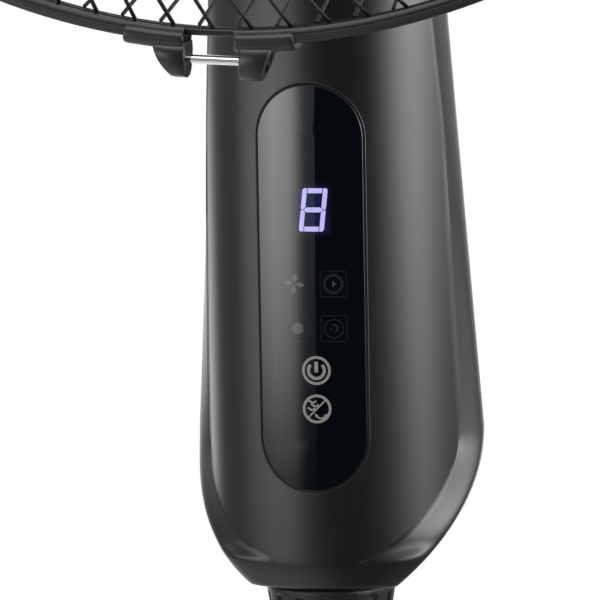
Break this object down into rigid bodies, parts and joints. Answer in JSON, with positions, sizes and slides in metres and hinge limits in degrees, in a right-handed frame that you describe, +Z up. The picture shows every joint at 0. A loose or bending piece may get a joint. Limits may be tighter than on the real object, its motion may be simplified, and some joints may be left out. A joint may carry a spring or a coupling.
{
  "type": "pedestal fan",
  "caption": "Floor-standing fan: weighted round base, telescopic pole, control housing with touch display, swivelling and tilting head, impeller inside a two-part wire guard.",
  "frame": {"origin": "centre of the round base on the floor", "axes": "+Z up along the pole, the fan blows towards -Y, +X is the viewer's right when facing the display"},
  "size_m": [0.433, 0.42, 1.1615],
  "materials": {
    "black_plastic": "satin black moulded plastic",
    "housing_plastic": "satin charcoal moulded plastic",
    "collar_plastic": "near-black moulded plastic",
    "hoop_plastic": "black moulded plastic, semi-gloss",
    "grey_plastic": "natural grey moulded plastic",
    "gear_plastic": "natural acetal",
    "blade_plastic": "dark tinted plastic",
    "lens_black": "glossy black acrylic",
    "digit_glow": "lit white",
    "circuit_board": "green solder mask",
    "rubber": "matt black rubber",
    "black_paint": "satin black powder coat on steel tube",
    "painted_plate": "black painted steel sheet",
    "guard_coating": "black powder coat on steel wire",
    "cast_weight": "rough cast iron",
    "cast_alloy": "die cast alloy",
    "zinc_steel": "zinc plated steel",
    "shaft_steel": "ground steel",
    "stator_iron": "laminated iron with wound coils",
    "rotor_iron": "laminated iron cast in alloy",
    "bearing_bronze": "sintered bronze",
    "chrome_tube": "polished chrome plate",
    "chrome_screw": "bright zinc plate"
  },
  "bodies": {
    "stand": {"base_cover": "black_plastic", "base_weight": "cast_weight", "base_plate": "painted_plate", "base_feet": "rubber", "base_bolt": "zinc_steel", "base_washer": "zinc_steel", "pole_foot_plug": "grey_plastic", "pole_trim_ring": "black_plastic", "outer_tube": "black_paint", "tube_collet": "grey_plastic"},
    "collar": {"height_collar": "collar_plastic"},
    "mast": {"inner_tube": "chrome_tube", "tube_end_bush": "grey_plastic", "housing_front": "housing_plastic", "housing_rear": "housing_plastic", "display_lens": "lens_black", "display_board": "circuit_board", "digit_module": "grey_plastic", "digit_segments": "digit_glow", "indicator_leds": "digit_glow", "touch_pads": "rubber", "board_screws": "zinc_steel", "control_board": "circuit_board", "run_capacitor": "grey_plastic", "control_board_screws": "zinc_steel", "tube_clamp": "grey_plastic", "housing_screws": "zinc_steel", "cable_gland": "rubber", "swivel_bush": "grey_plastic", "swivel_motor": "zinc_steel", "swivel_screws": "zinc_steel"},
    "knob": {"clamp_knob": "collar_plastic"},
    "pinion": {"swivel_pinion": "gear_plastic"},
    "neck": {"swivel_neck": "black_plastic", "swivel_gear": "gear_plastic", "neck_clip": "zinc_steel", "tilt_bolt": "zinc_steel", "tilt_nut": "zinc_steel", "friction_washers": "zinc_steel"},
    "head": {"motor_frame": "cast_alloy", "motor_end_plate": "cast_alloy", "motor_cover": "black_plastic", "stator": "stator_iron", "shaft_bearings": "bearing_bronze", "cover_screws": "zinc_steel", "rear_guard_wires": "guard_coating", "rear_guard_rings": "guard_coating", "guard_nut": "collar_plastic", "front_guard_wires": "guard_coating", "front_guard_rings": "guard_coating", "guard_hoop": "hoop_plastic", "hoop_screw": "chrome_screw", "hoop_nut": "zinc_steel", "centre_cap": "black_plastic"},
    "impeller": {"rotor": "rotor_iron", "motor_shaft": "shaft_steel", "drive_pin": "shaft_steel", "fan_blade": "blade_plastic", "blade_nut": "collar_plastic"}
  },
  "joints": [
    {"name": "collar_turn", "type": "hinge", "parent": "stand", "child": "collar", "pos_m": [0, 0, 0.52], "axis": [0, 0, 1], "range_deg": [-180, 180]},
    {"name": "height_slide", "type": "slide", "parent": "stand", "child": "mast", "axis": [0, 0, 1], "range_m": [0, 0.2]},
    {"name": "clamp_turn", "type": "hinge", "parent": "mast", "child": "knob", "pos_m": [0, 0.05, 0.618], "axis": [0, 1, 0], "range_deg": [-180, 180]},
    {"name": "swivel", "type": "hinge", "parent": "mast", "child": "neck", "pos_m": [0, 0, 0.85], "axis": [0, 0, 1], "range_deg": [-40, 40]},
    {"name": "pinion_turn", "type": "hinge", "parent": "mast", "child": "pinion", "pos_m": [0, 0.027, 0.825], "axis": [0, 0, 1], "range_deg": [-120, 120]},
    {"name": "head_tilt", "type": "hinge", "parent": "neck", "child": "head", "pos_m": [0, 0, 0.872], "axis": [-1, 0, 0], "range_deg": [-10, 25]},
    {"name": "fan_spin", "type": "hinge", "parent": "head", "child": "impeller", "pos_m": [0, -0.0975, 0.945], "axis": [0, -1, 0], "continuous": true}
  ],
  "couplings": [
    {"joint": "pinion_turn", "follows": "swivel", "ratio": -3}
  ]
}
